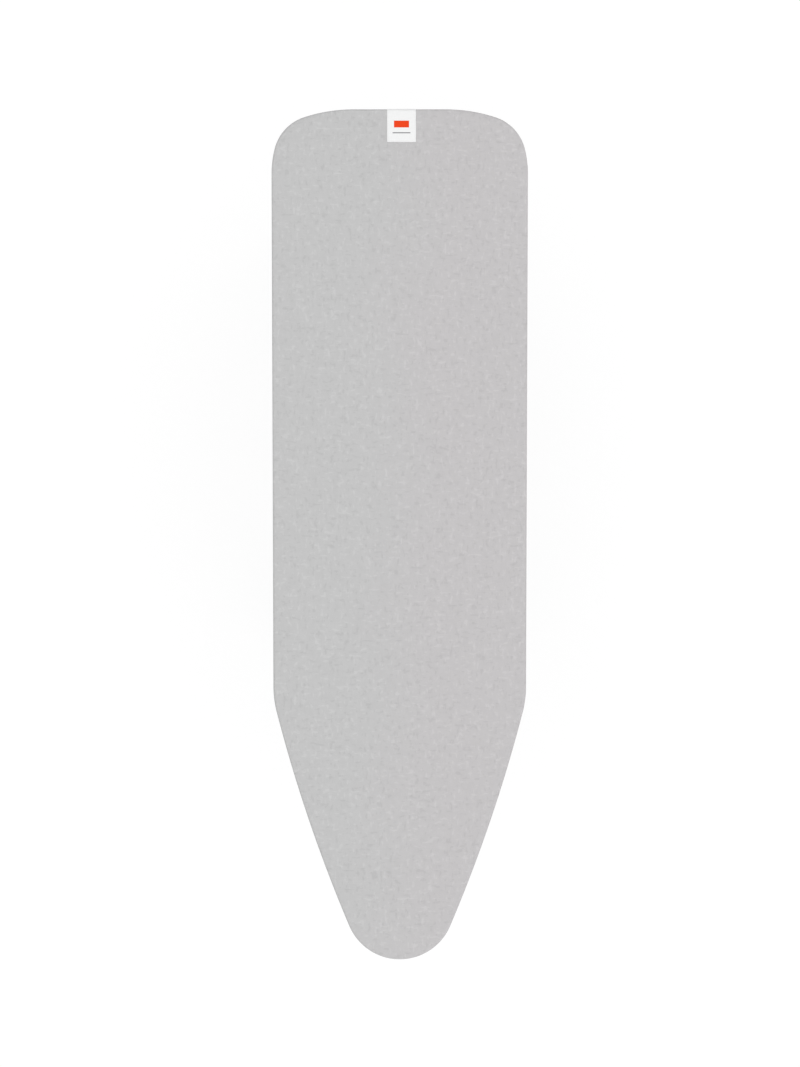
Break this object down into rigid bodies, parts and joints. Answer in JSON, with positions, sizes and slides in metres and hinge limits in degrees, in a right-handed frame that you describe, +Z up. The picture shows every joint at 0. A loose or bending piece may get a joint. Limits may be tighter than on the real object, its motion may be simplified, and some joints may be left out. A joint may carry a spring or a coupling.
{
  "type": "ironing board",
  "caption": "Folding ironing board: long padded top with a rounded nose and silver-grey cloth cover on crossed tube legs, with a sliding height clutch.",
  "frame": {"origin": "on the floor, below the middle of the board's bounding box, with the board standing open", "axes": "+Y along the board to its square end, so the nose points along -Y; +X across the board; +Z up"},
  "size_m": [0.374, 1.24, 0.9053],
  "materials": {
    "cover_cloth": "silver-grey metallised cotton, fine matt weave",
    "elastic_tape": "white knitted elastic",
    "label_weave": "white woven label with plain stripes",
    "foam": "open-cell polyurethane foam",
    "felt": "grey needled felt",
    "sheet_steel": "light grey powder coat",
    "painted_frame": "silver-grey powder coat, satin",
    "zinc_plate": "bright zinc plate",
    "spring_steel": "drawn spring wire",
    "lever_steel": "bright zinc plate",
    "dark_plastic": "moulded, fine grain",
    "foot_plastic": "moulded, soft satin",
    "nylon": "natural nylon"
  },
  "bodies": {
    "top": {"cover": "cover_cloth", "hem_elastic": "elastic_tape", "label": "label_weave", "foam_pad": "foam", "felt_underlay": "felt", "top_plate": "sheet_steel", "rim_channel": "painted_frame", "brace_rear": "painted_frame", "brace_hinge": "painted_frame", "brace_middle": "painted_frame", "brace_clutch": "painted_frame", "brace_front": "painted_frame", "brace_nose": "painted_frame", "frame_rivets": "zinc_plate", "rail_left": "painted_frame", "rail_right": "painted_frame", "rail_stops": "dark_plastic", "hinge_bracket_left": "zinc_plate", "hinge_bracket_right": "zinc_plate", "hinge_bolts": "zinc_plate", "hinge_nuts": "zinc_plate", "clutch_housing": "zinc_plate", "clutch_spring": "spring_steel", "lever_pin": "zinc_plate", "latch_screw": "zinc_plate"},
    "outer_leg": {"outer_tube_left": "painted_frame", "outer_tube_right": "painted_frame", "outer_foot_bar": "painted_frame", "outer_feet": "foot_plastic", "outer_tube_plugs": "dark_plastic", "crossing_bolts": "zinc_plate", "crossing_spacers": "nylon", "crossing_nuts": "zinc_plate"},
    "inner_leg": {"inner_upper_tube_left": "painted_frame", "inner_upper_tube_right": "painted_frame", "inner_lower_tube_left": "painted_frame", "inner_lower_tube_right": "painted_frame", "inner_foot_bar": "painted_frame", "inner_feet": "foot_plastic", "inner_tube_plugs": "dark_plastic", "stretcher_tube": "painted_frame"},
    "slider": {"slider_axle": "zinc_plate", "axle_caps": "zinc_plate", "slide_shoes": "nylon", "rod_eye": "nylon", "pull_rod": "zinc_plate", "rod_collar": "dark_plastic"},
    "lever": {"clutch_lever": "lever_steel", "lever_grip": "dark_plastic"},
    "transport_latch": {"transport_latch": "dark_plastic"}
  },
  "joints": [
    {"name": "leg_fold", "type": "hinge", "parent": "top", "child": "outer_leg", "pos_m": [0, 0.425, 0.84929], "axis": [1, 0, 0], "range_deg": [-54, 7]},
    {"name": "leg_cross", "type": "hinge", "parent": "outer_leg", "child": "inner_leg", "pos_m": [0, 0.15756, 0.48118], "axis": [1, 0, 0], "range_deg": [-14, 108]},
    {"name": "slider_pivot", "type": "hinge", "parent": "inner_leg", "child": "slider", "pos_m": [0, -0.10988, 0.84929], "axis": [1, 0, 0], "range_deg": [-54, 7]},
    {"name": "release", "type": "hinge", "parent": "top", "child": "lever", "pos_m": [-0.026, 0.04532, 0.84929], "axis": [0, 0, 1], "range_deg": [0, 8], "stiffness_Nm_per_rad": 1.4, "springref_deg": -11.46, "deforming": ["clutch_spring"]},
    {"name": "latch_turn", "type": "hinge", "parent": "top", "child": "transport_latch", "pos_m": [0.06, 0.523, 0.85529], "axis": [0, 0, 1], "range_deg": [0, 90]}
  ],
  "couplings": [
    {"joint": "leg_cross", "follows": "leg_fold", "ratio": -2},
    {"joint": "slider_pivot", "follows": "leg_fold", "ratio": 1}
  ]
}
